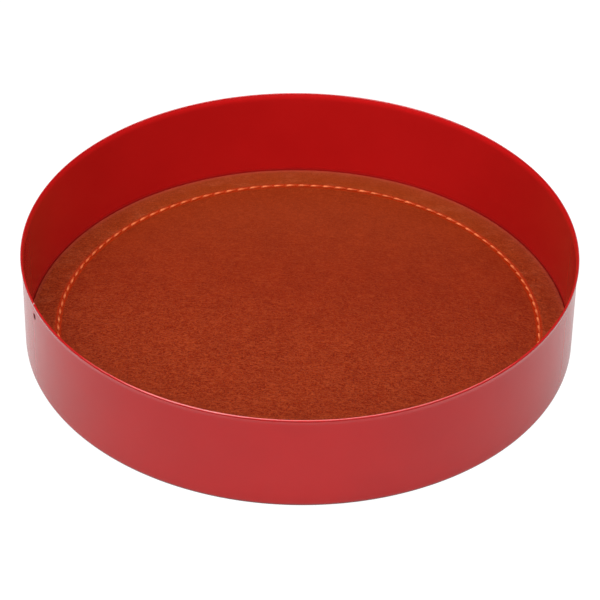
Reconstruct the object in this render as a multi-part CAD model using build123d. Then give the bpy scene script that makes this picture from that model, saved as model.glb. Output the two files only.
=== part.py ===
"""Round coin tray: a drawn steel dish, lacquered all over, with a stitched leather insert.

The insert is a separate pad, a leather disc sewn to a fibre backing, that drops into the dish
and lifts straight out again. All sizes are in millimetres. The origin is the centre of the face
that the tray stands on, and +Z points up, out of the mouth.
"""
from build123d import *
import math
import os

# Dish: one disc of sheet steel, drawn into a straight-sided pan whose rim flares out a little.
lip_diameter = 170.0
tray_height = 33.1
sheet_thickness = 0.7
corner_radius = 2.1
flare_radius = 10.0
flare_angle = 14.0

# Felt: the anti-scratch disc glued under the floor of the dish.
felt_thickness = 0.4
felt_inset = 2.0

# Insert: the leather with its burnished edge, and the stiff fibre backing under it.
leather_thickness = 1.1
leather_wall_gap = 0.17
leather_edge_round = 0.3
backing_thickness = 0.8
backing_corner_gap = 0.35

# Seam: one ring of lockstitch. The needle thread shows on top, the bobbin thread runs underneath,
# and the two meet inside the slits that the needle pricked at a slant to the ring.
seam_inset = 9.05
stitch_count = 115
needle_thread_diameter = 0.7
bobbin_thread_diameter = 0.45
leg_spacing = 0.74
leg_bend_radius = 0.42
slit_slant = 42.0
slit_slack = 0.06
seat_clearance = 0.03
channel_width = 1.6
channel_depth = 0.2
bobbin_channel_width = 1.3
bobbin_channel_slack = 0.05

# One overrun serves every cut.
cut_overrun = 0.5

# Radii of the dish.
flare_turn = math.radians(flare_angle)
mid_flare_radius = flare_radius + sheet_thickness / 2
lip_stand = mid_flare_radius * (1 - math.cos(flare_turn))
wall_outer_radius = lip_diameter / 2 - lip_stand
wall_inner_radius = wall_outer_radius - sheet_thickness
inner_corner_radius = corner_radius - sheet_thickness

# Heights, from the face that the tray stands on.
floor_bottom = felt_thickness
floor_top = floor_bottom + sheet_thickness
leather_bottom = floor_top + backing_thickness
leather_top = leather_bottom + leather_thickness
lip_centre_height = tray_height - sheet_thickness / 2
flare_start = lip_centre_height - mid_flare_radius * math.sin(flare_turn)

# Radii of the felt and of the insert.
felt_radius = wall_outer_radius - corner_radius - felt_inset
leather_radius = wall_inner_radius - leather_wall_gap
backing_radius = wall_inner_radius - inner_corner_radius - backing_corner_gap
seam_radius = leather_radius - seam_inset

# Slits and the two threads.
slit_width = needle_thread_diameter + 2 * slit_slack
slit_length = leg_spacing + slit_width
stitch_step = 360 / stitch_count
needle_run_height = leather_top - channel_depth + seat_clearance + needle_thread_diameter / 2
bobbin_run_height = floor_top + seat_clearance + bobbin_thread_diameter / 2
bobbin_channel_depth = bobbin_thread_diameter + seat_clearance + bobbin_channel_slack


def flare_point(radius, turn):
    """A point on an arc about the flare's centre, which lies outside the wall where the flare starts."""
    across = wall_outer_radius + flare_radius - radius * math.cos(turn)
    return (across, flare_start + radius * math.sin(turn))


def make_tray_shell():
    """The dish, turned from one closed section: floor, corner, wall, flare and rounded lip."""
    inner_flare_radius = flare_radius + sheet_thickness
    lip_outer = flare_point(flare_radius, flare_turn)
    lip_inner = flare_point(inner_flare_radius, flare_turn)
    lip_centre = flare_point(mid_flare_radius, flare_turn)
    lip_crown = (
        lip_centre[0] + sheet_thickness / 2 * math.sin(flare_turn),
        lip_centre[1] + sheet_thickness / 2 * math.cos(flare_turn),
    )
    outer_corner_centre = (wall_outer_radius - corner_radius, floor_bottom + corner_radius)
    inner_corner_centre = (wall_inner_radius - inner_corner_radius, floor_top + inner_corner_radius)
    with BuildSketch(Plane.XZ) as section:
        with BuildLine():
            Line((0, floor_bottom), (outer_corner_centre[0], floor_bottom))
            CenterArc(outer_corner_centre, corner_radius, -90, 90)
            Line((wall_outer_radius, outer_corner_centre[1]), (wall_outer_radius, flare_start))
            ThreePointArc(
                (wall_outer_radius, flare_start),
                flare_point(flare_radius, flare_turn / 2),
                lip_outer,
            )
            ThreePointArc(lip_outer, lip_crown, lip_inner)
            ThreePointArc(
                lip_inner,
                flare_point(inner_flare_radius, flare_turn / 2),
                (wall_inner_radius, flare_start),
            )
            Line((wall_inner_radius, flare_start), (wall_inner_radius, inner_corner_centre[1]))
            CenterArc(inner_corner_centre, inner_corner_radius, 0, -90)
            Line((inner_corner_centre[0], floor_top), (0, floor_top))
            Line((0, floor_top), (0, floor_bottom))
        make_face()
    return revolve(section.sketch, axis=Axis.Z)


def make_base_felt():
    """The felt disc, flush against the underside of the floor."""
    return extrude(Circle(felt_radius), amount=felt_thickness)


def slits(bottom, top):
    """Cutters for the pricked slits, from below the given bottom to above the given top."""
    slot = SlotOverall(slit_length, slit_width, rotation=90 - slit_slant)
    height = top - bottom + 2 * cut_overrun
    cutter = Pos(seam_radius, 0, bottom - cut_overrun) * extrude(slot, amount=height)
    return [Rot(0, 0, index * stitch_step) * cutter for index in range(stitch_count)]


def make_leather_top():
    """The leather disc: burnished edge, the shallow channel that the seam pulls in, and the slits."""
    disc = Pos(0, 0, leather_bottom) * extrude(Circle(leather_radius), amount=leather_thickness)
    disc = fillet(disc.edges(), leather_edge_round)
    half_width = channel_width / 2
    channel_radius = (half_width ** 2 + channel_depth ** 2) / (2 * channel_depth)
    channel_height = leather_top - channel_depth + channel_radius
    with BuildSketch(Plane.XZ) as ring:
        with Locations((seam_radius, channel_height)):
            Circle(channel_radius)
    channel = revolve(ring.sketch, axis=Axis.Z)
    return disc - channel - slits(leather_bottom, leather_top)


def make_pad_backing():
    """The fibre disc under the leather, with the groove that keeps the bobbin thread off the floor."""
    disc = Pos(0, 0, floor_top) * extrude(Circle(backing_radius), amount=backing_thickness)
    groove = Circle(seam_radius + bobbin_channel_width / 2) - Circle(seam_radius - bobbin_channel_width / 2)
    groove_height = bobbin_channel_depth + cut_overrun
    ring = Pos(0, 0, floor_top - cut_overrun) * extrude(groove, amount=groove_height)
    return disc - ring - slits(floor_top, leather_bottom)


def slit_point(index, side):
    """Where a thread leg stands in a slit: side is +1 for the stitch that starts, -1 for the one that ends."""
    turn = math.radians(index * stitch_step)
    slant = math.radians(slit_slant)
    outward = (math.cos(turn), math.sin(turn))
    along = (-math.sin(turn), math.cos(turn))
    reach_out = seam_radius + side * leg_spacing / 2 * math.sin(slant)
    reach_along = side * leg_spacing / 2 * math.cos(slant)
    return (
        outward[0] * reach_out + along[0] * reach_along,
        outward[1] * reach_out + along[1] * reach_along,
    )


def make_stitch(diameter, run_height):
    """One stitch: a leg in each of two neighbouring slits, joined by a run with two tight bends."""
    start = slit_point(0, 1)
    end = slit_point(1, -1)
    path = FilletPolyline(
        (*start, leather_bottom),
        (*start, run_height),
        (*end, run_height),
        (*end, leather_bottom),
        radius=leg_bend_radius,
    )
    leg_end = Plane((*start, leather_bottom), z_dir=(0, 0, run_height - leather_bottom))
    return sweep(leg_end * Circle(diameter / 2), path=path)


def make_seam_thread(diameter, run_height):
    """A whole thread: the same stitch repeated round the ring."""
    stitch = make_stitch(diameter, run_height)
    turns = [index * stitch_step for index in range(stitch_count)]
    return Compound([Rot(0, 0, turn) * stitch.solid() for turn in turns])


nodes = {
    "tray_shell": make_tray_shell(),
    "base_felt": make_base_felt(),
    "leather_top": make_leather_top(),
    "pad_backing": make_pad_backing(),
    "needle_thread": make_seam_thread(needle_thread_diameter, needle_run_height),
    "bobbin_thread": make_seam_thread(bobbin_thread_diameter, bobbin_run_height),
}

os.makedirs("parts", exist_ok=True)
for name, shape in nodes.items():
    export_step(shape, f"parts/{name}.step")
    print(f"{name}: {len(shape.solids())} solids, {shape.volume:.1f} mm3")
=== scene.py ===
# %% [markdown]
# # A round coin tray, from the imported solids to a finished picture
#
# The tray is a shallow dish of lacquered sheet steel with a loose round pad in it: leather sewn to
# a fibre board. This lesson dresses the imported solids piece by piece. Every new piece is one
# surface worked out with numpy, in metres, in the frame of the solids, and every finish is a small
# network of shader nodes written as sums.
#
# The solids are loaded first, because they say where each piece goes and which body it rides on.

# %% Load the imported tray
import math

import bpy
import numpy as np
from mathutils import Matrix, Vector


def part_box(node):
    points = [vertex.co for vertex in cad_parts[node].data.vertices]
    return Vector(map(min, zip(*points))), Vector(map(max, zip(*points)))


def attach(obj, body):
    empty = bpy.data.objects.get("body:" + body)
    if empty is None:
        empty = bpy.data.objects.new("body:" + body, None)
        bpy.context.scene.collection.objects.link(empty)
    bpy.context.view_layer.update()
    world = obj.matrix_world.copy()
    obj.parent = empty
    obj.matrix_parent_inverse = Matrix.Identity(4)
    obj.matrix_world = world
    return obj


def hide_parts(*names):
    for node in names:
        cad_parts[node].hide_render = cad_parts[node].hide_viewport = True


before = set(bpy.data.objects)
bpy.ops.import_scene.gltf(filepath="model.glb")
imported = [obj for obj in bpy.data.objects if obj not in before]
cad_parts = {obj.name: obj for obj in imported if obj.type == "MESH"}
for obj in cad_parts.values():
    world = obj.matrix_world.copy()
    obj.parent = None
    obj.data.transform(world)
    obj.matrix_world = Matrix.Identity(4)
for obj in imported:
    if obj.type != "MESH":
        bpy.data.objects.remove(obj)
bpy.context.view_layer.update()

# %% [markdown]
# ## Sizes
#
# The nodes' boxes give the outer sizes. What a box can't tell, such as the thickness of the sheet
# or the slant of the stitches, is repeated here from the source of the solids.

# %% Sizes of the tray, in metres
MM = 0.001

lip_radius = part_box("tray_shell")[1].x
tray_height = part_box("tray_shell")[1].z
floor_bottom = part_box("tray_shell")[0].z
felt_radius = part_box("base_felt")[1].x
leather_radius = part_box("leather_top")[1].x
leather_bottom, leather_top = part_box("leather_top")[0].z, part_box("leather_top")[1].z
board_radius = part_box("pad_backing")[1].x
board_bottom, board_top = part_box("pad_backing")[0].z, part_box("pad_backing")[1].z

sheet = 0.7 * MM
corner_radius = 2.1 * MM
wall_outer = lip_radius - 0.307 * MM
wall_inner = wall_outer - sheet
flare_angle = 20.0
seam_radius = leather_radius - 9.05 * MM
stitch_count = 115
stitch_step = 2 * math.pi / stitch_count
stitch_length = seam_radius * stitch_step
slit_slant = math.radians(42.0)
leg_reach = 0.37 * MM
print(f"Lip {2 * lip_radius / MM:.1f} mm across, {tray_height / MM:.1f} mm high")
print(f"{stitch_count} stitches of {stitch_length / MM:.2f} mm on a ring of {seam_radius / MM:.2f} mm")

# %% [markdown]
# ## One builder for every piece
#
# Each piece here is a closed skin over rings of points: a turned dish, a disc or a stitch differ
# only in where their rings lie. So one function skins any stack of rings. It closes each ring onto
# its own start and each stack with one point at either end, so there is no seam, hole or loose face,
# and it checks with the signed volume that the faces point outwards.

# %% Skin a stack of rings


def skin_rings(name, rings, first, last, along=None):
    """A closed mesh over rings[k, i, j]: point j of ring i of copy k, in metres.

    Neighbouring rings are joined by quads and first[k] and last[k] close the two ends by triangles.
    The signed volume is the sum over triangles of a . (b x c) / 6, and the faces are turned round
    if it comes out negative. Where along[k, i] is given, a length such as the way along a thread,
    the mesh gets a UV map of it.
    """
    copies, stacks, spokes = rings.shape[:3]
    ring_ids = np.arange(copies * stacks * spokes).reshape(copies, stacks, spokes)
    first_ids = ring_ids.size + np.arange(copies)
    last_ids = first_ids + copies
    points = np.concatenate([rings.reshape(-1, 3), first.reshape(-1, 3), last.reshape(-1, 3)])
    next_ids = np.roll(ring_ids, -1, axis=2)
    quads = np.stack([ring_ids[:, :-1], next_ids[:, :-1], next_ids[:, 1:], ring_ids[:, 1:]], axis=-1)
    quads = quads.reshape(-1, 4)
    start = np.stack(
        [np.broadcast_to(first_ids[:, None], (copies, spokes)), next_ids[:, 0], ring_ids[:, 0]], axis=-1
    ).reshape(-1, 3)
    end = np.stack(
        [np.broadcast_to(last_ids[:, None], (copies, spokes)), ring_ids[:, -1], next_ids[:, -1]], axis=-1
    ).reshape(-1, 3)
    triangles = np.concatenate([quads[:, [0, 1, 2]], quads[:, [0, 2, 3]], start, end])
    a, b, c = (points[triangles[:, k]] for k in range(3))
    volume = np.einsum("ij,ij->i", a, np.cross(b, c)).sum() / 6
    if volume < 0:
        quads, start, end = quads[:, ::-1], start[:, ::-1], end[:, ::-1]
    mesh = bpy.data.meshes.new(name)
    mesh.from_pydata(points, [], quads.tolist() + start.tolist() + end.tolist())
    mesh.polygons.foreach_set("use_smooth", np.ones(len(mesh.polygons), bool))
    if along is not None:
        lay_out_uv(mesh, ring_ids, along, volume < 0)
    mesh.update()
    piece = bpy.data.objects.new(name, mesh)
    bpy.context.scene.collection.objects.link(piece)
    print(f"{name}: {len(mesh.polygons)} faces, {abs(volume) / MM ** 3:.1f} mm3 inside")
    return piece


def lay_out_uv(mesh, ring_ids, along, turned):
    """UV for skin_rings: u is the share of the way round a ring, v is along[k, i]."""
    copies, stacks, spokes = ring_ids.shape
    u = np.arange(spokes + 1) / spokes
    left = np.broadcast_to(u[:-1], (copies, stacks - 1, spokes))
    right = np.broadcast_to(u[1:], (copies, stacks - 1, spokes))
    low = np.broadcast_to(along[:, :-1, None], left.shape)
    high = np.broadcast_to(along[:, 1:, None], left.shape)
    corners = np.stack([
        np.stack([left, low], -1), np.stack([right, low], -1),
        np.stack([right, high], -1), np.stack([left, high], -1),
    ], axis=-2).reshape(-1, 4, 2)
    caps = []
    for ring, order in ((0, (0, 2, 1)), (-1, (0, 1, 2))):
        tip = np.stack([left[:, 0], np.broadcast_to(along[:, ring, None], left[:, 0].shape)], -1)
        far = np.stack([right[:, 0], tip[..., 1]], -1)
        three = np.stack([tip, tip, far], axis=-2)[..., order, :]
        caps.append(three.reshape(-1, 3, 2))
    if turned:
        corners = corners[:, ::-1]
        caps = [cap[:, ::-1] for cap in caps]
    flat = np.concatenate([corners.reshape(-1, 2)] + [cap.reshape(-1, 2) for cap in caps])
    mesh.uv_layers.new(name="thread_way").data.foreach_set("uv", flat.ravel())

# %% Arcs, runs and turning a section


def arc(centre, radius, start, stop, count):
    """Points of an arc: the centre plus radius times (cos, sin) of a turn from start to stop degrees."""
    turn = np.radians(np.linspace(start, stop, count))
    return np.column_stack([centre[0] + radius * np.cos(turn), centre[1] + radius * np.sin(turn)])


def run(start, stop, count):
    """Points spaced evenly on the straight line from start to stop, both of them (across, up)."""
    return np.linspace(start, stop, count)


def join(*parts):
    """One line of points from several, without the points that two neighbours share."""
    line = np.concatenate(parts)
    step = np.linalg.norm(np.diff(line, axis=0), axis=1)
    return line[np.concatenate([[True], step > 1e-7])]


def turn_section(section, spokes):
    """Carry (across, up) points round the upright axis: x = r cos a, y = r sin a, z = up."""
    angle = np.arange(spokes) * (2 * math.pi / spokes)
    across, up = np.broadcast_arrays(section[:, 0, None], angle)[0], section[:, 1, None]
    return angle, across.copy(), np.broadcast_to(up, across.shape).copy()


def to_points(angle, across, up):
    """Points in metres from polar ones: an extra axis of length 3 is added at the end."""
    angle = np.broadcast_to(angle, across.shape)
    return np.stack([across * np.cos(angle), across * np.sin(angle), up], axis=-1)


def smooth_step(value, low, high):
    """0 below low, 1 above high, and 3t^2 - 2t^3 between them, with t the share of the way."""
    t = np.clip((value - low) / (high - low), 0, 1)
    return t * t * (3 - 2 * t)


def close_on_axis(up):
    """The point on the axis that closes a turned piece, as one row for skin_rings."""
    return np.array([[0.0, 0.0, up]])

# %% [markdown]
# ## The dish
#
# The real dish is one disc of steel, drawn into a pan: a small rounded corner, a straight wall, and
# a rim that leans out a little and ends in a rounded edge. It could be a cylinder with a Bevel, but
# the rim's lean decides how the edge catches the light, so the section is written out and turned.
# A drawn wall is never quite round. A few slow waves, each a few hundredths of a millimetre, make
# its reflections swim as they do on thin metal.

# %% Section of the dish


def on_circle(centre, radius, degrees):
    """The point of a circle at a turn in degrees from straight outwards."""
    turn = math.radians(degrees)
    return (centre[0] + radius * math.cos(turn), centre[1] + radius * math.sin(turn))


outer_corner = (wall_outer - corner_radius, floor_bottom + corner_radius)
inner_corner_radius = corner_radius - sheet
shoulder_radius, inner_edge_radius, shoulder_end = 0.5 * MM, 0.25 * MM, 62.0
shoulder_drop, lip_proud = 0.455 * MM, 0.05 * MM
shoulder = (lip_radius + lip_proud - shoulder_radius, tray_height - shoulder_drop)
inner_edge = on_circle(shoulder, shoulder_radius - inner_edge_radius, shoulder_end)
lip_outer = on_circle(shoulder, shoulder_radius, -flare_angle)
lip_inner = on_circle(inner_edge, inner_edge_radius, 180 - flare_angle)
bend_radius = 5.0 * MM
bend_sine, bend_cosine = math.sin(math.radians(flare_angle)), math.cos(math.radians(flare_angle))
hub_radius = 12 * MM
floor_top = floor_bottom + sheet


def bend_centre(lip, wall, radius):
    """Centre of the arc that leads from the upright wall into the straight flare below the lip."""
    rise = (lip[0] - wall - radius * (1 - bend_cosine)) / bend_sine * bend_cosine
    return (wall + radius, lip[1] - rise - radius * bend_sine)


outer_bend = bend_centre(lip_outer, wall_outer, bend_radius)
inner_bend = bend_centre(lip_inner, wall_inner, bend_radius + sheet)
dish_section = join(
    run((hub_radius, floor_bottom), (72 * MM, floor_bottom), 6),
    run((78 * MM, floor_bottom), (outer_corner[0], floor_bottom), 3),
    arc(outer_corner, corner_radius, -90, 0, 14),
    run((wall_outer, outer_corner[1]), (wall_outer, outer_bend[1]), 12),
    arc(outer_bend, bend_radius, 180, 180 - flare_angle, 12),
    arc(shoulder, shoulder_radius, -flare_angle, shoulder_end, 12),
    arc(inner_edge, inner_edge_radius, shoulder_end, 180 - flare_angle, 9),
    arc(inner_bend, bend_radius + sheet, 180 - flare_angle, 180, 12),
    run((wall_inner, inner_bend[1]), (wall_inner, outer_corner[1]), 12),
    arc(outer_corner, inner_corner_radius, 0, -90, 10),
    run((outer_corner[0], floor_top), (76 * MM, floor_top), 3),
    run((70 * MM, floor_top), (hub_radius, floor_top), 5),
)
flare_out, flare_up = lip_outer[0] - wall_outer, lip_outer[1] - outer_bend[1]
print(f"Flare: {flare_up / MM:.2f} mm high, {flare_out / MM:.2f} mm out")
print("Section of the dish:", len(dish_section), "points")

# %% Turn the dish and let its wall wave a little
chance = np.random.default_rng(7)
angle, across, up = turn_section(dish_section, 720)
free_height = smooth_step(up, 4 * MM, 30 * MM) * (across > 80 * MM)
waves = np.zeros_like(angle)
for lobes, size in ((2, 0.07), (3, 0.04), (4, 0.025), (7, 0.012), (11, 0.007), (17, 0.004)):
    waves = waves + size * MM * np.cos(lobes * angle + chance.uniform(0, 2 * math.pi))
across = across + waves * free_height
tray_shell = skin_rings(
    "dish", to_points(angle, across, up)[None],
    close_on_axis(floor_bottom), close_on_axis(floor_top),
)
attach(tray_shell, "dish")
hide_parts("tray_shell")

# %% [markdown]
# ## The felt under the dish
#
# A thin felt disc keeps the dish from scratching a table. Felt is soft, so its cut edge is rounded
# and its face is a little uneven. It is glued flat, and it keeps inside the solid's thickness.

# %% Make the felt
felt_thickness = floor_bottom
felt_round = 0.16 * MM
felt_section = join(
    run((10 * MM, 0), (felt_radius - 0.3 * MM, 0), 14),
    arc((felt_radius - felt_round, felt_round), felt_round, -90, 0, 5),
    arc((felt_radius - felt_round, felt_thickness - felt_round), felt_round, 0, 90, 5),
    run((felt_radius - 0.3 * MM, felt_thickness), (10 * MM, felt_thickness), 6),
)
angle, across, up = turn_section(felt_section, 480)
ragged = sum(
    0.02 * MM * np.cos(lobes * angle + chance.uniform(0, 2 * math.pi)) for lobes in (5, 13, 31, 67, 113)
)
across = across + ragged * smooth_step(across, felt_radius - 0.5 * MM, felt_radius)
base_felt = skin_rings(
    "felt_disc", to_points(angle, across, up)[None], close_on_axis(0.0), close_on_axis(felt_thickness)
)
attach(base_felt, "dish")
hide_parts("base_felt")

# %% [markdown]
# ## The leather
#
# The leather is a flat disc, but the seam works on it. The thread pulls a shallow channel into it,
# each needle hole is a short slanted dimple, and the leather swells a little beside the channel.
# All of that is height, so it is a sum of smooth bumps over the disc: a narrow bell across the
# seam, a bell in slanted coordinates at each hole, and slow waves over the whole disc. The rings
# are packed closely near the seam, where the shape changes, and are wide apart elsewhere.

# %% Height of the leather's face


def bell(offset, width):
    """exp(-(offset / width)^2), a smooth bump of height 1."""
    return np.exp(-(offset / width) ** 2)


def near_stitch(angle, across):
    """Way past the nearest needle hole along the seam, and way outwards from the seam, in metres."""
    turn = (angle + stitch_step / 2) % stitch_step - stitch_step / 2
    return across * turn, across - seam_radius


def needle_dimples(angle, across, long_width, short_width):
    """A bell at each hole, long along the slit's slant and short across it."""
    along, outwards = near_stitch(angle, across)
    with_slit = along * math.cos(slit_slant) + outwards * math.sin(slit_slant)
    over_slit = outwards * math.cos(slit_slant) - along * math.sin(slit_slant)
    return bell(with_slit, long_width) * bell(over_slit, short_width)


def seam_relief(angle, across):
    """What the seam does to the leather: channel, swelling beside it, holes, all in metres."""
    along, outwards = near_stitch(angle, across)
    at_hole = 0.5 + 0.5 * np.cos(2 * math.pi * along / stitch_length)
    channel = -(0.12 + 0.04 * at_hole) * MM * bell(outwards, 0.75 * MM)
    swell = (0.045 - 0.02 * at_hole) * MM * bell(np.abs(outwards) - 1.4 * MM, 0.7 * MM)
    holes = -0.30 * MM * needle_dimples(angle, across, 0.50 * MM, 0.28 * MM)
    return channel + swell + holes


def slow_waves(angle, across, size, lengths, seed):
    """Sum of plane waves in random directions, each of one wavelength and about size metres high."""
    draw = np.random.default_rng(seed)
    x, y = across * np.cos(angle), across * np.sin(angle)
    total = np.zeros_like(x)
    for length in lengths:
        heading, phase = draw.uniform(0, 2 * math.pi, 2)
        total += np.sin(2 * math.pi * (x * math.cos(heading) + y * math.sin(heading)) / length + phase)
    return total * size / math.sqrt(len(lengths))

# %% Make the leather
edge_round, under_round = 0.20 * MM, 0.3 * MM
wave_size, wave_lengths, wave_seed = 0.035 * MM, (0.09, 0.06, 0.04, 0.027), 3
seam_rings = seam_radius + np.concatenate([
    np.linspace(-3.4, -1.7, 5), np.linspace(-1.5, 1.5, 23), np.linspace(1.7, 3.4, 5)
]) * MM
face_rings = np.concatenate([
    np.linspace(leather_radius - edge_round, leather_radius - 2.2 * MM, 5),
    np.linspace(leather_radius - 2.9 * MM, seam_rings[-1] + 0.5 * MM, 3),
    seam_rings[::-1],
    seam_rings[0] - np.array([0.8, 2.5, 6, 11, 18, 26, 35, 45, 55, 65]) * MM,
])
leather_section = join(
    run((20 * MM, leather_bottom), (leather_radius - under_round, leather_bottom), 4),
    arc((leather_radius - under_round, leather_bottom + under_round), under_round, -90, 0, 5),
    arc((leather_radius - edge_round, leather_top - edge_round), edge_round, 0, 90, 8),
    np.column_stack([face_rings, np.full_like(face_rings, leather_top)]),
)
angle, across, up = turn_section(leather_section, 12 * stitch_count)
on_face = smooth_step(up, leather_top - 0.5 * MM, leather_top)
relief = seam_relief(angle, across) + slow_waves(angle, across, wave_size, wave_lengths, wave_seed)
curl = 0.12 * MM * smooth_step(across, leather_radius - 3.0 * MM, leather_radius)
centre_lift = float(slow_waves(np.zeros(1), np.zeros(1), wave_size, wave_lengths, wave_seed)[0])
up = up + on_face * (relief + curl)
leather = skin_rings(
    "leather_disc", to_points(angle, across, up)[None],
    close_on_axis(leather_bottom), close_on_axis(leather_top + centre_lift),
)
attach(leather, "insert")
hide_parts("leather_top")

# %% [markdown]
# ## The fibre board under the leather
#
# The board keeps the leather flat. It shows only when the pad is lifted out: a disc with a groove
# for the lower thread, and a small dimple with a pushed-out rim where each needle came through.

# %% Make the fibre board
groove_depth = 0.53 * MM
groove_half = 0.65 * MM
board_round = 0.12 * MM
board_rings = np.concatenate([
    np.array([15, 35, 55, 68]) * MM,
    seam_radius + np.array([-2.6, -1.6, -1.0, -0.72, -0.65]) * MM,
])
board_section = join(
    np.column_stack([board_rings, np.full_like(board_rings, board_bottom)]),
    run((seam_radius - groove_half, board_bottom + 0.08 * MM),
        (seam_radius - groove_half + 0.07 * MM, board_bottom + groove_depth), 4),
    run((seam_radius - groove_half + 0.12 * MM, board_bottom + groove_depth),
        (seam_radius + groove_half - 0.12 * MM, board_bottom + groove_depth), 9),
    run((seam_radius + groove_half - 0.07 * MM, board_bottom + groove_depth),
        (seam_radius + groove_half, board_bottom + 0.08 * MM), 4),
    run((seam_radius + groove_half, board_bottom), (seam_radius + 2.6 * MM, board_bottom), 5),
    run((seam_radius + 3.4 * MM, board_bottom), (board_radius - board_round, board_bottom), 4),
    arc((board_radius - board_round, board_bottom + board_round), board_round, -90, 0, 4),
    arc((board_radius - board_round, board_top - board_round), board_round, 0, 90, 4),
    run((board_radius - 0.5 * MM, board_top), (15 * MM, board_top), 4),
)
angle, across, up = turn_section(board_section, 10 * stitch_count)
in_groove = bell(across - seam_radius, 0.6 * MM) * (up < board_top - 0.1 * MM)
up = up + in_groove * 0.18 * MM * needle_dimples(angle, across, 0.55 * MM, 0.3 * MM)
fibre_board = skin_rings(
    "fibre_board", to_points(angle, across, up)[None],
    close_on_axis(board_bottom), close_on_axis(board_top),
)
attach(fibre_board, "insert")
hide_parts("pad_backing")

# %% [markdown]
# ## The stitches
#
# The seam is a lockstitch. On top, each stitch comes up at the outer end of one slanted hole, lies
# over the leather and goes down at the inner end of the next, so every stitch lies slightly askew.
# A curve with a bevel would do for one thread, but 115 curves are slow, so all the stitches are
# worked out together: rings of eight points along each stitch, eleven on top and nine underneath,
# smoothed by one level of subdivision. On top a stitch is pulled tight where it starts and lies
# free towards its far end, where it is thicker and its colour is painted pale as a highlight; near
# the holes its colour is painted deep orange as a shadow. No two are pulled alike, so each gets its
# own height, place, girth and painted light, drawn from a fixed seed.

# %% Sew a ring of stitches
ring_points = 8


def sew(name, diameter, datum, reach, profile, seed, looseness):
    """All the stitches of one thread as one mesh.

    Stitch k starts at hole k and ends at hole k + 1. Its ends stand reach = (along, outwards) from
    the middle of their holes, the start on the outer side and the end on the inner side. Each row
    of the profile is one ring: its share of the way, its height above the datum, its girth as a
    share of the diameter, and its painted light, from 0 for the deep orange of a painted shadow to
    1 for the pale orange of a painted highlight. Round the centre line lie ellipses, upright to the
    line.
    The subdivision pulls an eight-sided ring in by cos(pi / 8), so the rings are made larger by as
    much.
    """
    draw = np.random.default_rng(seed)
    hole = np.arange(stitch_count) * stitch_step
    shares, heights, girths, painted_lights = np.asarray(profile).T

    def hole_end(angle, side):
        """Where each stitch meets its hole: side is 1 on the outer side and -1 on the inner one."""
        out = seam_radius + side * reach[1] + draw.normal(0, looseness * 0.6, stitch_count)
        way = side * reach[0]
        return np.stack([
            out * np.cos(angle) - way * np.sin(angle), out * np.sin(angle) + way * np.cos(angle)
        ], axis=-1)

    start, end = hole_end(hole, 1), hole_end(hole + stitch_step, -1)
    centre = np.zeros((stitch_count, len(shares), 3))
    centre[..., :2] = start[:, None] + shares[None, :, None] * (end - start)[:, None]
    lift = np.sin(math.pi * shares)[None] * draw.normal(0, looseness, stitch_count)[:, None]
    bow = np.sin(math.pi * shares)[None] * draw.normal(0, looseness, stitch_count)[:, None]
    centre[..., 2] = datum + heights[None] * MM + lift
    heading = (end - start) / np.linalg.norm(end - start, axis=1, keepdims=True)
    side = np.stack([-heading[:, 1], heading[:, 0], np.zeros(stitch_count)], axis=-1)[:, None]
    centre += side * bow[..., None]
    tangent = np.gradient(centre, axis=1)
    tangent /= np.linalg.norm(tangent, axis=-1, keepdims=True)
    normal = np.cross(side, tangent)
    way = np.concatenate([
        np.zeros((stitch_count, 1)), np.cumsum(np.linalg.norm(np.diff(centre, axis=1), axis=-1), axis=1)
    ], axis=1) + draw.uniform(0, 5 * MM, (stitch_count, 1))
    turn = np.arange(ring_points) * (2 * math.pi / ring_points)
    radius = diameter / 2 / math.cos(math.pi / ring_points)
    girth = girths[None, :, None, None] * draw.normal(1, 0.05, (stitch_count, 1, 1, 1))
    sideways = 1.04 * np.cos(turn)[:, None] * side[:, :, None]
    upwards = 0.94 * np.sin(turn)[:, None] * normal[:, :, None]
    rings = centre[:, :, None] + radius * girth * (sideways + upwards)
    piece = skin_rings(name, rings, centre[:, 0], centre[:, -1], way / MM)
    # Painted light per point: the profile's value, scaled down a little at random for each stitch.
    painted_light = painted_lights[None] * draw.uniform(0.7, 1, (stitch_count, 1))
    painted_light = np.concatenate([np.repeat(painted_light.ravel(), ring_points), painted_light[:, 0], painted_light[:, -1]])
    values = piece.data.attributes.new("painted_light", "FLOAT", "POINT").data
    values.foreach_set("value", painted_light.astype(np.float32))
    smoother = piece.modifiers.new("smooth", "SUBSURF")
    smoother.levels = smoother.render_levels = 1
    return piece

# %% The thread on top
needle_thread = sew("top_stitches", 0.63 * MM, leather_top, (0.17 * MM, 0.19 * MM), [
    (0.00, -0.80, 0.60, 0.0),
    (0.00, -0.35, 0.66, 0.0),
    (0.02, -0.04, 0.74, 0.0),
    (0.10, 0.01, 0.78, 0.0),
    (0.26, 0.04, 0.84, 0.1),
    (0.44, 0.09, 0.96, 0.4),
    (0.60, 0.16, 1.12, 1.0),
    (0.82, 0.17, 1.12, 1.0),
    (0.94, 0.04, 0.84, 0.2),
    (1.00, -0.35, 0.64, 0.0),
    (1.00, -0.80, 0.58, 0.0),
], seed=11, looseness=0.02 * MM)
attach(needle_thread, "insert")
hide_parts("needle_thread")

# %% The thread underneath
slit_reach = (leg_reach * math.cos(slit_slant), leg_reach * math.sin(slit_slant))
bobbin_thread = sew("under_stitches", 0.43 * MM, board_bottom, slit_reach, [
    (0.04, 0.78, 1.00, 0.3),
    (0.04, 0.60, 1.00, 0.3),
    (0.07, 0.36, 1.00, 0.4),
    (0.18, 0.27, 1.02, 0.7),
    (0.50, 0.25, 1.05, 1.0),
    (0.82, 0.27, 1.02, 0.7),
    (0.93, 0.36, 1.00, 0.4),
    (0.96, 0.60, 1.00, 0.3),
    (0.96, 0.78, 1.00, 0.3),
], seed=12, looseness=0.008 * MM)
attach(bobbin_thread, "insert")
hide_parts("bobbin_thread")

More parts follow.
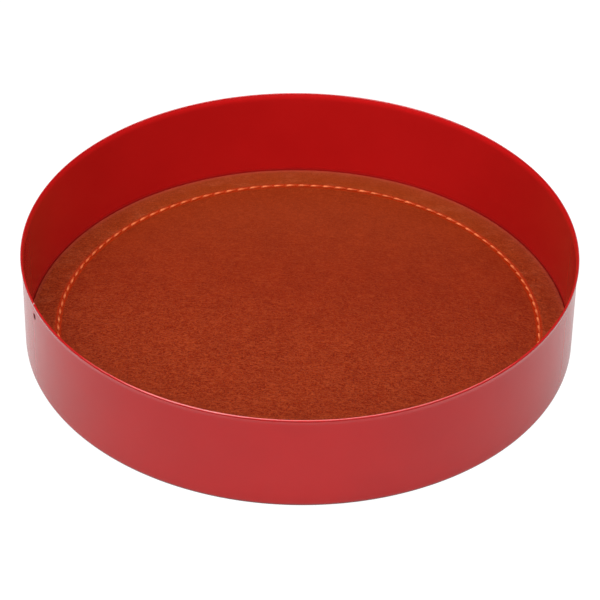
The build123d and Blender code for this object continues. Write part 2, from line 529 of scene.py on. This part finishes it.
# %% [markdown]
# ## Writing shaders as sums
#
# A finish is easier to read as a sum than as a drawing of nodes. Signal stands for one output of a
# node, and its operators add Math nodes, so 1 - mask works. Finish holds one material's nodes and
# has one method for every other node.

# %% Signal and Finish


class Signal:
    """One output of a shader node. Sums, differences, products and powers add Math nodes."""

    def __init__(self, finish, socket):
        self.finish, self.socket = finish, socket

    def maths(self, operation, *values):
        """One Math node on values and Signals."""
        return self.finish.node("ShaderNodeMath", {"operation": operation}, dict(enumerate(values)))

    def __add__(self, other):
        return self.maths("ADD", self, other)

    def __sub__(self, other):
        return self.maths("SUBTRACT", self, other)

    def __mul__(self, other):
        return self.maths("MULTIPLY", self, other)

    def __pow__(self, other):
        return self.maths("POWER", self, other)

    def __radd__(self, other):
        return self.maths("ADD", other, self)

    def __rsub__(self, other):
        return self.maths("SUBTRACT", other, self)

    def __rmul__(self, other):
        return self.maths("MULTIPLY", other, self)

    def __abs__(self):
        return self.maths("ABSOLUTE", self)

    def larger(self, other):
        """The larger of the two."""
        return self.maths("MAXIMUM", self, other)

    def fraction(self):
        """What is left past the last whole number."""
        return self.maths("FRACT", self)


class Finish:
    """The nodes of one material or world, built up by node()."""

    def __init__(self, owner):
        owner.use_nodes = True
        self.owner, self.tree = owner, owner.node_tree
        self.tree.nodes.clear()

    def node(self, kind, settings=None, sockets=None, output=0):
        """Add one node: its settings first, then a value or a Signal for each named socket."""
        made = self.tree.nodes.new(kind)
        for name, value in (settings or {}).items():
            setattr(made, name, value)
        for name, value in (sockets or {}).items():
            if isinstance(value, Signal):
                self.tree.links.new(value.socket, made.inputs[name])
            else:
                made.inputs[name].default_value = value
        return Signal(self, made.outputs[output]) if len(made.outputs) else made

    def place(self):
        """Object coordinates in millimetres."""
        here = self.node("ShaderNodeTexCoord", output="Object")
        return self.node("ShaderNodeMapping", sockets={"Vector": here, "Scale": (1000, 1000, 1000)})

    def axes(self, place):
        """The three coordinates of a place, one Signal each."""
        split = self.node("ShaderNodeSeparateXYZ", sockets={"Vector": place})
        return [Signal(self, socket) for socket in split.socket.node.outputs]

    def stretched(self, place, x, y, z):
        """The place with each axis scaled, so that a pattern is drawn out along the small ones."""
        return self.node("ShaderNodeMapping", sockets={"Vector": place, "Scale": (x, y, z)})

    def noise(self, place, size, detail=2.0, roughness=0.5, distortion=0.0):
        """Smooth noise from 0 to 1, about size millimetres from crest to crest."""
        return self.node("ShaderNodeTexNoise", sockets={
            "Vector": place, "Scale": 1 / size, "Detail": detail, "Roughness": roughness,
            "Distortion": distortion,
        })

    def cells(self, place, size, feature="F1"):
        """A field of random cells about size millimetres wide.

        The value is the distance from a cell's heart, or from its edge with DISTANCE_TO_EDGE.
        """
        return self.node("ShaderNodeTexVoronoi", {"feature": feature}, {
            "Vector": place, "Scale": 1 / size,
        }, "Distance")

    def between(self, value, low, high):
        """A smooth step: 0 where the value is low, 1 where it is high."""
        return self.node("ShaderNodeMapRange", {"interpolation_type": "SMOOTHSTEP"}, {
            "Value": value, "From Min": low, "From Max": high, "To Min": 0.0, "To Max": 1.0,
        })

    def blend(self, mask, first, second):
        """The first colour where the mask is 0, the second where it is 1."""
        return self.node("ShaderNodeMix", {"data_type": "RGBA"}, {0: mask, 6: first, 7: second}, 2)

    def relief(self, height):
        """A bump whose height is in millimetres, at its true size."""
        return self.node("ShaderNodeBump", sockets={"Height": height, "Distance": MM, "Strength": 1.0})

    def principled(self, **sockets):
        """The main shader, with underscores for the spaces in the names of its sockets."""
        named = {name.replace("_", " "): value for name, value in sockets.items()}
        return self.node("ShaderNodeBsdfPrincipled", sockets=named)

    def surface(self, **sockets):
        """One main shader as the whole material."""
        self.output(self.principled(**sockets))

    def mixed(self, mask, first, second):
        """The first shader where the mask is 0, the second where it is 1."""
        return self.node("ShaderNodeMixShader", sockets={0: mask, 1: first, 2: second})

    def glow(self, strength):
        """A plain white glow."""
        return self.node("ShaderNodeEmission", sockets={"Color": (1, 1, 1, 1), "Strength": strength})

    def output(self, shader, kind="ShaderNodeOutputMaterial"):
        """Make a shader the whole material or world."""
        self.node(kind, sockets={"Surface": shader})


def new_finish(name):
    """A Finish for a new material."""
    return Finish(bpy.data.materials.new(name))


def dress(piece, finish):
    """Give a piece its material."""
    piece.data.materials.clear()
    piece.data.materials.append(finish.owner)
    print(f"{piece.name} wears {finish.owner.name}, {len(finish.tree.nodes)} nodes")

# %% [markdown]
# ## Red lacquer
#
# Stove lacquer on steel is a saturated red under a clear gloss. Seen square on it is deep red, and
# towards the sides the gloss takes over and it pales, which the shader's own Fresnel does. What
# makes it lacquer and not plastic is the surface: a very fine orange peel, faint upright streaks
# from the drawing of the wall, and here and there a grain of dust under the paint. A band just
# below the lip's crown is painted a little brighter, a painted light, the crown has a second coat
# of gloss, and just under the crown, outside, a duller line of thinner lacquer is painted dark as
# shade. Inside, a line of painted shade darkens the wall above the leather, and the foot of the
# wall is rubbed matt and also painted darker as shade. The used tray also has one chip beside the
# rim and a rubbed spot above it. A matt place is a shader of its own, laid in by a mask, because a
# mask may drive a Mix Shader but not the specular level.

# %% Where the lacquer changes
lacquer = new_finish("red_lacquer_gloss")
place = lacquer.place()
upright = lacquer.stretched(place, 1, 1, 0.05)
streaks = lacquer.noise(upright, 4.5, 3.0, 0.55)
peel = lacquer.noise(place, 1.5, 1.0)
film = lacquer.noise(place, 24.0, 3.0)
dust = 1 - lacquer.between(lacquer.cells(place, 9.0), 0.008, 0.022)


def mark(finish, place, spot, stretch, radius):
    """A soft-edged round or drawn-out spot, 1 at the given place in millimetres and 0 past radius."""
    drawn = finish.stretched(place, *stretch)
    target = tuple(s * k for s, k in zip(spot, stretch))
    away = finish.node("ShaderNodeVectorMath", {"operation": "DISTANCE"}, {0: drawn, 1: target}, "Value")
    return 1 - finish.between(away + 0.25 * radius * finish.noise(place, 0.5), radius * 0.7, radius)


chip_spot, rubbed_spot = (-78.47, -31.86, 28.1), (-78.6, -32.2, 33.0)
chip = mark(lacquer, place, chip_spot, (1, 1, 0.86), 1.3)
rubbed = mark(lacquer, place, rubbed_spot, (1, 1, 1), 0.6)
x, y, z = lacquer.axes(place)
from_axis = (x * x + y * y) ** 0.5
below_lip = tray_height / MM - z
inside = 1 - lacquer.between(from_axis, wall_inner / MM + 0.2, wall_inner / MM + 0.4)
lip_outside = lacquer.between(from_axis, lip_radius / MM - 0.50, lip_radius / MM - 0.40)
# A band below the lip's crown whose red is painted brighter, a painted light, more so outside.
lip = (1 - lacquer.between(below_lip, 0.8, 2.6)) * lacquer.between(below_lip, 0.35, 0.50)
# A line of painted shade on the inner wall just above the leather, where the wall meets the pad.
shade_above_leather = inside * (1 - lacquer.between(z + 0.8 * film, leather_top / MM + 0.3, leather_top / MM + 2.2))

# %% Colour and gloss of the lacquer
red = lacquer.blend(lacquer.between(film, 0.3, 0.7), (0.450, 0.0056, 0.0062, 1), (0.480, 0.0066, 0.0072, 1))
# Painted shade: the red is darkened on the wall above the leather.
red = lacquer.blend(shade_above_leather * 0.40, red, (0.14, 0.003, 0.002, 1))
# Painted light on the band below the lip's crown.
red = lacquer.blend(lip * (0.55 + 0.25 * lip_outside), red, (0.60, 0.0085, 0.0090, 1))
red = lacquer.blend(rubbed * 0.8, red, (0.62, 0.30, 0.28, 1))
gloss = lacquer.principled(
    Base_Color=red,
    Roughness=0.12 + 0.05 * film + 0.08 * streaks + 0.2 * shade_above_leather,
    IOR=1.42,
    Coat_Weight=1 - lacquer.between(below_lip, 0.10, 0.26),
    Coat_Roughness=0.06,
    Normal=lacquer.relief(0.034 * streaks + 0.004 * peel + 0.03 * dust - 0.06 * chip),
)

# %% Matt places of the lacquer
bare = lacquer.principled(Base_Color=(0.11, 0.010, 0.010, 1), Roughness=0.9, Specular_IOR_Level=0.0)
# Thinner, duller lacquer under the crown outside, whose dark red is a painted shade.
thin_and_shaded = lacquer.principled(Base_Color=(0.34, 0.004, 0.004, 1), Roughness=0.6, Specular_IOR_Level=0.1)
# The rubbed matt foot, whose dark colour is also a painted shade where the wall meets the table.
worn_and_shaded = lacquer.principled(Base_Color=(0.15, 0.022, 0.019, 1), Roughness=0.8, Specular_IOR_Level=0.1)
# Where the dark line of painted shade under the crown lies.
under_lip_shade = lacquer.between(below_lip, 0.22, 0.34) * (1 - lacquer.between(below_lip, 0.50, 0.68))
# The foot of the wall: rubbed matt and painted darker as shade.
foot = 1 - lacquer.between(z + 0.4 * streaks, 1.2, 2.3)
chipped = lacquer.mixed(chip, gloss, bare)
edged = lacquer.mixed(0.65 * under_lip_shade * lip_outside, chipped, thin_and_shaded)
lacquer.output(lacquer.mixed(foot, edged, worn_and_shaded))
dress(tray_shell, lacquer)

# %% [markdown]
# ## Leather
#
# Smooth vegetable-tanned leather in russet. Close up it has small rounded cells with creases
# between them, pores, and fine wrinkles that run across the hide and bend towards the front on the
# right. Further away the dye is cloudy. A wrinkle is a thin line where a drawn-out noise passes
# through one half. The grain is coarser towards the front, on the left and outside the seam, so one
# mask scales all of it. The back is painted paler as a sheen, most of all outside the seam, and a
# painted sheen also lightens the ring outside the seam at the back right; the ring outside the seam
# is also a greyer tan, the channel under the thread is a clear orange, and the cut edge is rubbed
# pale, more so at the back where the painted sheen adds to it.

# %% Grain and wrinkles of the leather
hide = new_finish("russet_leather")
place = hide.place()
x, y = hide.axes(place)[:2]
creases = hide.between(hide.cells(place, 0.7, "DISTANCE_TO_EDGE"), 0.0, 0.16)
to_the_right = (x + 20).larger(0.0)
bent = y + 0.0025 * to_the_right * to_the_right
fold_place = hide.node("ShaderNodeCombineXYZ", sockets={0: 0.5 * x, 1: bent})
folds = 1 - hide.between(abs(hide.noise(fold_place, 2.2, 1.0, 0.5, 1.4) - 0.5), 0.0, 0.06)
fine_folds = 1 - hide.between(abs(hide.noise(fold_place, 1.0, 1.0, 0.5, 1.0) - 0.5), 0.0, 0.08)
grain = hide.noise(place, 0.5, 2.0, 0.7)
pores = 1 - hide.between(hide.cells(place, 0.9), 0.05, 0.20)

# %% Regions of the leather
from_middle = (x * x + y * y) ** 0.5
from_seam = from_middle - seam_radius / MM
warp = hide.noise(place, 3.0, 2.0)
cloud = hide.noise(place, 9.0, 4.0, 0.6)
outside = hide.between(from_seam, 0.3, 1.4)
scuffs = outside * hide.between(hide.noise(hide.stretched(place, 0.5, 1, 1), 4.0, 3.0, 0.65), 0.45, 0.75)
# Painted sheen: the leather is painted paler towards the back, most of all outside the seam.
painted_back_sheen = hide.between(y + 16 * cloud, 20.0, 82.0) * (0.45 + 0.55 * outside)
rough_side = 30 * cloud - y + 0.15 * (abs(x) - x) + 45 * outside
coarse = 0.45 + 0.55 * hide.between(rough_side, -15.0, 45.0)
channel = 1 - hide.between(abs(from_seam), 0.3, 1.4)
cut = hide.between(from_middle + 0.4 * warp, leather_radius / MM - 1.4, leather_radius / MM + 0.2)
# Painted sheen on the ring outside the seam, towards the back right.
painted_ring_sheen = hide.between(from_middle, 78.0, 83.4) * hide.between(x + y, -60.0, 20.0)

# %% Colour and relief of the leather
tan = hide.blend(hide.between(cloud, 0.3, 0.7), (0.168, 0.0094, 0.0003, 1), (0.198, 0.0122, 0.0005, 1))
tan = hide.blend(outside * 0.5, tan, (0.190, 0.0145, 0.0018, 1))
tan = hide.blend(painted_back_sheen * 0.85, tan, (0.250, 0.0370, 0.0060, 1))
dark_grain = hide.blend(0.47 * coarse, tan, (0.05, 0.002, 0.0002, 1))
pale_grain = hide.blend(0.40 * coarse, tan, (0.36, 0.036, 0.0030, 1))
tan = hide.blend(hide.between(grain, 0.34, 0.66), dark_grain, pale_grain)
tan = hide.blend((1 - creases) * 0.12, tan, (0.08, 0.005, 0.0005, 1))
tan = hide.blend(coarse * (0.19 * folds + 0.36 * fine_folds), tan, (0.41, 0.068, 0.0150, 1))
tan = hide.blend(coarse * 0.25 * pores, tan, (0.05, 0.003, 0.0005, 1))
tan = hide.blend(scuffs * (0.20 + 0.30 * fine_folds), tan, (0.33, 0.075, 0.030, 1))
tan = hide.blend(0.14 * painted_ring_sheen, tan, (0.40, 0.065, 0.035, 1))
tan = hide.blend(channel * 0.75, tan, (0.42, 0.021, 0.0002, 1))
# The cut edge is rubbed pale, more so at the back, where the painted sheen adds to it.
tan = hide.blend(cut * (0.38 + 0.34 * painted_back_sheen), tan, (0.40, 0.052, 0.030, 1))
skin = 0.03 * creases + 0.03 * folds + 0.02 * fine_folds - 0.03 * pores + 0.04 * grain
hide.surface(
    Base_Color=tan,
    Roughness=0.46 + 0.08 * grain + 0.08 * (1 - creases) + 0.04 * outside,
    IOR=1.45,
    Specular_IOR_Level=0.055,
    Normal=hide.relief(coarse * skin),
)
dress(leather, hide)

# %% [markdown]
# ## Thread
#
# Waxed thread is three plies laid round each other. At this size the plies are a pattern on the
# thread's own UV map: u goes once round it and v is its length in millimetres, so a stripe in
# 3u + 0.85v winds round it like a ply, and between the plies the colour is painted darker as a
# shadow. Fine fibres follow the same lay. Each point also carries a painted light from the stitch's
# profile: deep orange, a painted shadow, near the holes where the thread is pulled tight, and pale,
# a painted highlight, on the free crown, where the fibres get a paler painted highlight too.

# %% Thread
wax = new_finish("orange_waxed_thread")
way = wax.node("ShaderNodeUVMap", {"uv_map": "thread_way"})
u, v = wax.axes(way)[:2]
winding = 3 * u + v * 0.85
ply = 1 - wax.between(abs(winding.fraction() - 0.5), 0.16, 0.5)
along_fibre = wax.node("ShaderNodeCombineXYZ", sockets={0: winding, 1: v * 0.15})
fibres = wax.noise(wax.stretched(along_fibre, 9, 4, 1), 1.0, 2.0)
painted_light = wax.node("ShaderNodeAttribute", {"attribute_name": "painted_light"}, output="Fac")
# Painted light: deep orange for the painted shadow, pale orange for the painted highlight, with paler
# fibres painted only in the highlight.
orange = wax.blend(painted_light, (0.47, 0.047, 0.003, 1), (0.75, 0.188, 0.058, 1))
# Between the plies the colour is painted darker, a painted shadow in the grooves.
orange = wax.blend((1 - ply) * 0.22, orange, (0.46, 0.044, 0.004, 1))
orange = wax.blend(painted_light * wax.between(fibres, 0.5, 0.8) * 0.3, orange, (0.92, 0.34, 0.13, 1))
wax.surface(
    Base_Color=orange,
    Roughness=0.42 + 0.2 * fibres,
    IOR=1.45,
    Specular_IOR_Level=0.2,
    Normal=wax.relief(0.07 * ply + 0.012 * fibres),
)
dress(needle_thread, wax)
dress(bobbin_thread, wax)

# %% [markdown]
# ## Fibre board and felt
#
# Both are mats of fibres without a weave. Noise drawn out in three directions, with the brightest
# of the three at each place, reads as fibres lying at random. The board is pressed flat, with bits
# of darker fibre in it. The felt is looser, so its fibres stand higher and it has a faint sheen.

# %% Fibre board


def tangled(finish, place, size):
    """Fibres at random: the brightest of three noises, each drawn out along its own direction."""
    strands = None
    for turn in (0.2, 1.3, 2.4):
        laid = finish.node("ShaderNodeMapping", sockets={"Vector": place, "Rotation": (0.0, 0.0, turn)})
        drawn = finish.noise(finish.stretched(laid, 0.12, 1, 1), size, 2.0, 0.6, 0.3)
        strands = drawn if strands is None else strands.larger(drawn)
    return finish.between(strands, 0.45, 0.8)


board = new_finish("pressed_fibre_board")
place = board.place()
strands = tangled(board, place, 0.5)
bits = 1 - board.between(board.cells(board.stretched(place, 0.35, 1, 1), 1.4), 0.06, 0.2)
cloud = board.noise(place, 11.0, 3.0)
brown = board.blend(cloud, (0.085, 0.052, 0.032, 1), (0.135, 0.088, 0.056, 1))
brown = board.blend(strands * 0.5, brown, (0.19, 0.130, 0.085, 1))
brown = board.blend(bits * 0.6, brown, (0.03, 0.018, 0.012, 1))
board.surface(
    Base_Color=brown,
    Roughness=0.78 + 0.14 * strands,
    IOR=1.45,
    Normal=board.relief(0.03 * strands + 0.02 * cloud),
)
dress(fibre_board, board)

# %% Felt
felt = new_finish("dark_felt")
place = felt.place()
strands = tangled(felt, place, 0.35)
tufts = felt.noise(place, 1.8, 4.0, 0.7)
grey = felt.blend(tufts, (0.028, 0.025, 0.025, 1), (0.062, 0.056, 0.055, 1))
grey = felt.blend(strands * 0.55, grey, (0.11, 0.10, 0.098, 1))
felt.surface(
    Base_Color=grey,
    Roughness=0.86 + 0.1 * strands,
    IOR=1.4,
    Sheen_Weight=0.25,
    Normal=felt.relief(0.07 * strands + 0.10 * tufts),
)
dress(base_felt, felt)

# %% [markdown]
# ## Table, room and light
#
# The tray stands on a white table, in even light from all round and three large soft lamps. The
# white of the table is for eyes and reflections only: Light Path mixes in a plain white where a
# camera, glossy or transmission ray meets it, and the rest of its colour still takes the tray's
# shadow. The room is a dark band and the ceiling a white disc, which only reflections see. They draw
# the lip: a bright line where it mirrors the ceiling, and a deep red one where it mirrors the band.

# %% What stands round the tray


def surround(name, points, faces, finish, mirrored_only=False):
    """A mesh that stands round the tray. Where mirrored_only is set, only reflections see it."""
    mesh = bpy.data.meshes.new(name)
    mesh.from_pydata(points, [], faces)
    mesh.materials.append(finish.owner)
    thing = bpy.data.objects.new(name, mesh)
    bpy.context.scene.collection.objects.link(thing)
    if mirrored_only:
        thing.visible_camera = thing.visible_diffuse = False
        thing.visible_transmission = thing.visible_shadow = False
    print(f"{name}: {len(mesh.polygons)} faces")
    return thing


def ray_kinds(finish):
    """Three Signals: 1 for camera rays, for glossy ones and for transmission ones."""
    sockets = finish.node("ShaderNodeLightPath").socket.node.outputs
    kinds = ("Is Camera Ray", "Is Glossy Ray", "Is Transmission Ray")
    return [Signal(finish, sockets[kind]) for kind in kinds]

# %% White table
table_finish = new_finish("white_table")
looked_at, mirrored, seen_through = ray_kinds(table_finish)
tone = 0.35 + 0.30 * mirrored
paper = table_finish.node("ShaderNodeBsdfDiffuse", sockets={
    "Color": table_finish.node("ShaderNodeCombineColor", sockets={0: tone, 1: tone, 2: tone}),
})
white_when_seen, white_when_mirrored, white_strength = 0.78, 0.32, 1.27
share = white_when_seen * (looked_at + seen_through) + white_when_mirrored * mirrored
table_finish.output(table_finish.mixed(share, paper, table_finish.glow(white_strength)))
table_half, table_top = 3.0, -0.03 * MM
corners = [(x * table_half, y * table_half, table_top) for x, y in ((-1, -1), (1, -1), (1, 1), (-1, 1))]
table = surround("table", corners, [(0, 1, 2, 3)], table_finish)

# %% Dim room that only reflections see
room_finish = new_finish("dim_room")
room_finish.output(room_finish.glow(0.03))
room_radius, room_sides = 2.8, 48
angle = np.arange(room_sides) * (2 * math.pi / room_sides)
towards_camera = -np.sin(angle)
top_degrees = 50 - 2 * towards_camera
rise = np.radians(top_degrees * np.linspace(0, 1, 8)[:, None])
across, up = room_radius * np.cos(rise), room_radius * np.sin(rise)
ids = np.arange(across.size).reshape(across.shape)
next_ids = np.roll(ids, -1, axis=1)
faces = np.stack([ids[:-1], ids[1:], next_ids[1:], next_ids[:-1]], axis=-1).reshape(-1, 4).tolist()
points = to_points(angle, across, up).reshape(-1, 3)
room = surround("room", points, faces, room_finish, mirrored_only=True)

# %% White ceiling that only reflections see
ceiling_finish = new_finish("ceiling")
ceiling_finish.output(ceiling_finish.glow(3.6))
ceiling_radius, ceiling_height, ceiling_sides = 1.9, 2.3, 24
angle = np.arange(ceiling_sides) * (2 * math.pi / ceiling_sides)
rim = to_points(angle, np.full(ceiling_sides, ceiling_radius), np.full(ceiling_sides, ceiling_height))
face_down = list(range(ceiling_sides - 1, -1, -1))
ceiling = surround("ceiling", rim, [face_down], ceiling_finish, mirrored_only=True)

# %% Even light from all round
world = bpy.data.worlds.new("studio")
bpy.context.scene.world = world
sky = Finish(world)
looked_at, mirrored, seen_through = ray_kinds(sky)
strength = 0.48 + 0.52 * (looked_at + mirrored + seen_through)
sky.output(
    sky.node("ShaderNodeBackground", sockets={"Color": (1, 1, 1, 1), "Strength": strength}),
    "ShaderNodeOutputWorld",
)

# %% Three large soft lamps


def hang_light(name, azimuth, elevation, distance, size, power, mirrored=True):
    """A square area light, aimed at the tray's middle. Azimuth 0 is the camera's side, plus is right."""
    lamp = bpy.data.lights.new(name, "AREA")
    lamp.shape, lamp.size, lamp.energy = "SQUARE", size, power
    holder = bpy.data.objects.new(name, lamp)
    bpy.context.scene.collection.objects.link(holder)
    a, e = math.radians(azimuth), math.radians(elevation)
    way = Vector((math.sin(a) * math.cos(e), -math.cos(a) * math.cos(e), math.sin(e)))
    holder.location = way * distance
    holder.rotation_euler = way.to_track_quat("Z", "Y").to_euler()
    holder.visible_glossy = mirrored
    print(f"{name}: {power} W, {size} m wide, {distance} m away")


hang_light("key_light", azimuth=-50, elevation=50, distance=1.2, size=0.8, power=6.9)
hang_light("top_light", azimuth=0, elevation=85, distance=1.1, size=0.8, power=7.4, mirrored=False)
hang_light("front_light", azimuth=26, elevation=30, distance=1.2, size=0.8, power=4.6, mirrored=False)

# %% [markdown]
# ## The camera
#
# The photograph was taken with a long lens from about 85 cm, looking down at 37 degrees. The numbers
# come from fitting the tray's outline, and the camera's axes follow from three small turns.

# %% Camera
place_of_camera = np.array([-1.366, -675.35, 519.31]) * MM
pitch, pan, roll = 0.64471, 0.00193, 0.01302
ahead = np.array([0, math.cos(pitch), -math.sin(pitch)])
above = np.array([0, math.sin(pitch), math.cos(pitch)])
beside = np.array([1.0, 0, 0])
ahead, beside = (
    math.cos(pan) * ahead + math.sin(pan) * beside, math.cos(pan) * beside - math.sin(pan) * ahead
)
beside, above = (
    math.cos(roll) * beside + math.sin(roll) * above, math.cos(roll) * above - math.sin(roll) * beside
)
camera = bpy.data.objects.new("camera", bpy.data.cameras.new("camera"))
bpy.context.scene.collection.objects.link(camera)
camera.data.sensor_width, camera.data.lens = 36.0, 163.78
camera.data.clip_start = 0.01
turned = Matrix(np.column_stack([beside, above, -ahead]).tolist()).to_4x4()
camera.matrix_world = Matrix.Translation(Vector(place_of_camera)) @ turned
bpy.context.scene.camera = camera
bpy.context.scene.view_settings.view_transform = "Standard"
print("Camera at", [round(v, 3) for v in camera.location])

# %% [markdown]
# ## Last step
#
# The view layer is brought up to date.

# %% Bring the view layer up to date
bpy.context.view_layer.update()
